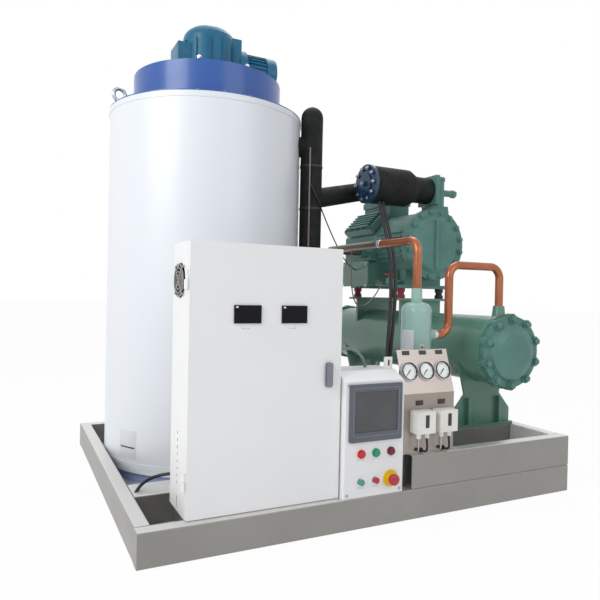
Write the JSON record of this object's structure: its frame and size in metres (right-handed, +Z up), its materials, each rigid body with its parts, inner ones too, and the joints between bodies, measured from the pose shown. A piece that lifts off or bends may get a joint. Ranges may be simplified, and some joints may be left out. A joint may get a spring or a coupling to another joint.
{
  "type": "flake ice machine",
  "caption": "Skid-mounted flake ice machine: insulated ice drum with top drive, green compressor over a shell condenser, and a control cabinet.",
  "frame": {"origin": "centre of the base frame's footprint, on the floor", "axes": "+X to the right along the front, +Y to the back, +Z up; the doors and gauges face -Y"},
  "size_m": [1.8, 1.6008, 2.087],
  "materials": {
    "stainless": "brushed",
    "blue_paint": "semi-gloss",
    "white_paint": "semi-gloss",
    "foam_core": "matt",
    "evaporator_steel": "ground",
    "cast_grey": "cast",
    "shaft_steel": "turned",
    "teal_paint": "semi-gloss",
    "cabinet_paint": "powder coat",
    "dark_plastic": "satin",
    "latch_zinc": "satin",
    "switch_grey": "matt",
    "fan_metal": "satin",
    "bezel_plastic": "matt",
    "screen_glass": "gloss",
    "lamp_red": "gloss",
    "bright_metal": "polished",
    "button_green": "gloss",
    "button_red": "gloss",
    "estop_yellow": "satin",
    "estop_red": "satin",
    "gauge_black": "satin",
    "clear_lens": "clear",
    "needle_black": "matt",
    "switch_white": "matt",
    "hose_rubber": "matt",
    "green_paint": "semi-gloss",
    "mount_rubber": "matt",
    "foam_black": "matt",
    "navy_paint": "semi-gloss",
    "separator_paint": "semi-gloss",
    "copper": "bright",
    "wheel_red": "satin"
  },
  "bodies": {
    "machine": {"base_rails": "stainless", "side_rails": "stainless", "floor_pan": "stainless", "tray_rims": "stainless", "tray_sides": "stainless", "base_ring": "blue_paint", "drum_jacket": "white_paint", "drum_insulation": "foam_core", "evaporator_wall": "evaporator_steel", "drum_lid": "blue_paint", "lifting_eyes": "blue_paint", "shaft_bearings": "cast_grey", "gear_reducer": "teal_paint", "drive_motor": "teal_paint", "cabinet_body": "cabinet_paint", "switchgear": "switch_grey", "fan_housing": "fan_metal", "control_box": "cabinet_paint", "control_panel": "cabinet_paint", "screen_bezel": "bezel_plastic", "touch_screen": "screen_glass", "lamps": "lamp_red", "button_collars": "bright_metal", "estop_collar": "estop_yellow", "gauge_board": "stainless", "gauge_cases": "gauge_black", "gauge_lenses": "clear_lens", "pressure_switches": "switch_white", "gauge_hoses": "hose_rubber", "condenser_shell": "green_paint", "condenser_saddles": "green_paint", "front_cap": "green_paint", "rear_cap": "green_paint", "compressor_brackets": "green_paint", "rubber_mounts": "mount_rubber", "crankcase": "green_paint", "motor_cover": "green_paint", "cylinder_heads": "green_paint", "terminal_box": "green_paint", "stop_valves": "green_paint", "suction_filter": "foam_black", "filter_cover": "navy_paint", "suction_line": "foam_black", "oil_separator": "separator_paint", "copper_pipes": "copper"},
    "spindle": {"main_shaft": "shaft_steel", "ice_scraper": "shaft_steel", "water_pan": "shaft_steel"},
    "fan": {"fan_rotor": "dark_plastic"},
    "door": {"cabinet_door": "cabinet_paint", "door_displays": "dark_plastic"},
    "latch": {"door_latch": "latch_zinc"},
    "start": {"start_button": "button_green"},
    "stop": {"stop_button": "button_red"},
    "estop_plunger": {"estop_plunger": "dark_plastic"},
    "estop_head": {"estop_head": "estop_red"},
    "needle_left": {"needle_left": "needle_black"},
    "needle_middle": {"needle_middle": "needle_black"},
    "needle_right": {"needle_right": "needle_black"},
    "wheel": {"valve_wheel": "wheel_red"}
  },
  "joints": [
    {"name": "spindle_turn", "type": "hinge", "parent": "machine", "child": "spindle", "pos_m": [-0.394, 0.265, 0.8], "axis": [0, 0, 1], "continuous": true},
    {"name": "fan_spin", "type": "hinge", "parent": "machine", "child": "fan", "pos_m": [-0.748, -0.638, 0.85], "axis": [1, 0, 0], "continuous": true},
    {"name": "door_swing", "type": "hinge", "parent": "machine", "child": "door", "pos_m": [-0.756, -0.737, 0.5], "axis": [0, 0, -1], "range_deg": [0, 110]},
    {"name": "latch_turn", "type": "hinge", "parent": "door", "child": "latch", "pos_m": [-0.262, -0.747, 0.56686], "axis": [0, 1, 0], "range_deg": [0, 90]},
    {"name": "start_press", "type": "slide", "parent": "machine", "child": "start", "axis": [0, 1, 0], "range_m": [0, 0.004], "stiffness_N_per_m": 600},
    {"name": "stop_press", "type": "slide", "parent": "machine", "child": "stop", "axis": [0, 1, 0], "range_m": [0, 0.004], "stiffness_N_per_m": 600},
    {"name": "estop_press", "type": "slide", "parent": "machine", "child": "estop_plunger", "axis": [0, 1, 0], "range_m": [0, 0.005]},
    {"name": "estop_twist", "type": "hinge", "parent": "estop_plunger", "child": "estop_head", "pos_m": [-0.01646, -0.792, 0.166], "axis": [0, 1, 0], "range_deg": [0, 30]},
    {"name": "needle_left_turn", "type": "hinge", "parent": "machine", "child": "needle_left", "pos_m": [0.0895, -0.72935, 0.53394], "axis": [0, 0.9511, -0.309], "range_deg": [0, 270], "stiffness_Nm_per_rad": 0.002},
    {"name": "needle_middle_turn", "type": "hinge", "parent": "machine", "child": "needle_middle", "pos_m": [0.1675, -0.72935, 0.53394], "axis": [0, 0.9511, -0.309], "range_deg": [0, 270], "stiffness_Nm_per_rad": 0.002},
    {"name": "needle_right_turn", "type": "hinge", "parent": "machine", "child": "needle_right", "pos_m": [0.2455, -0.72935, 0.53394], "axis": [0, 0.9511, -0.309], "range_deg": [0, 270], "stiffness_Nm_per_rad": 0.002},
    {"name": "wheel_turn", "type": "hinge", "parent": "machine", "child": "wheel", "pos_m": [0.49995, -0.01, 0.925], "axis": [0, 0, 1], "continuous": true}
  ]
}
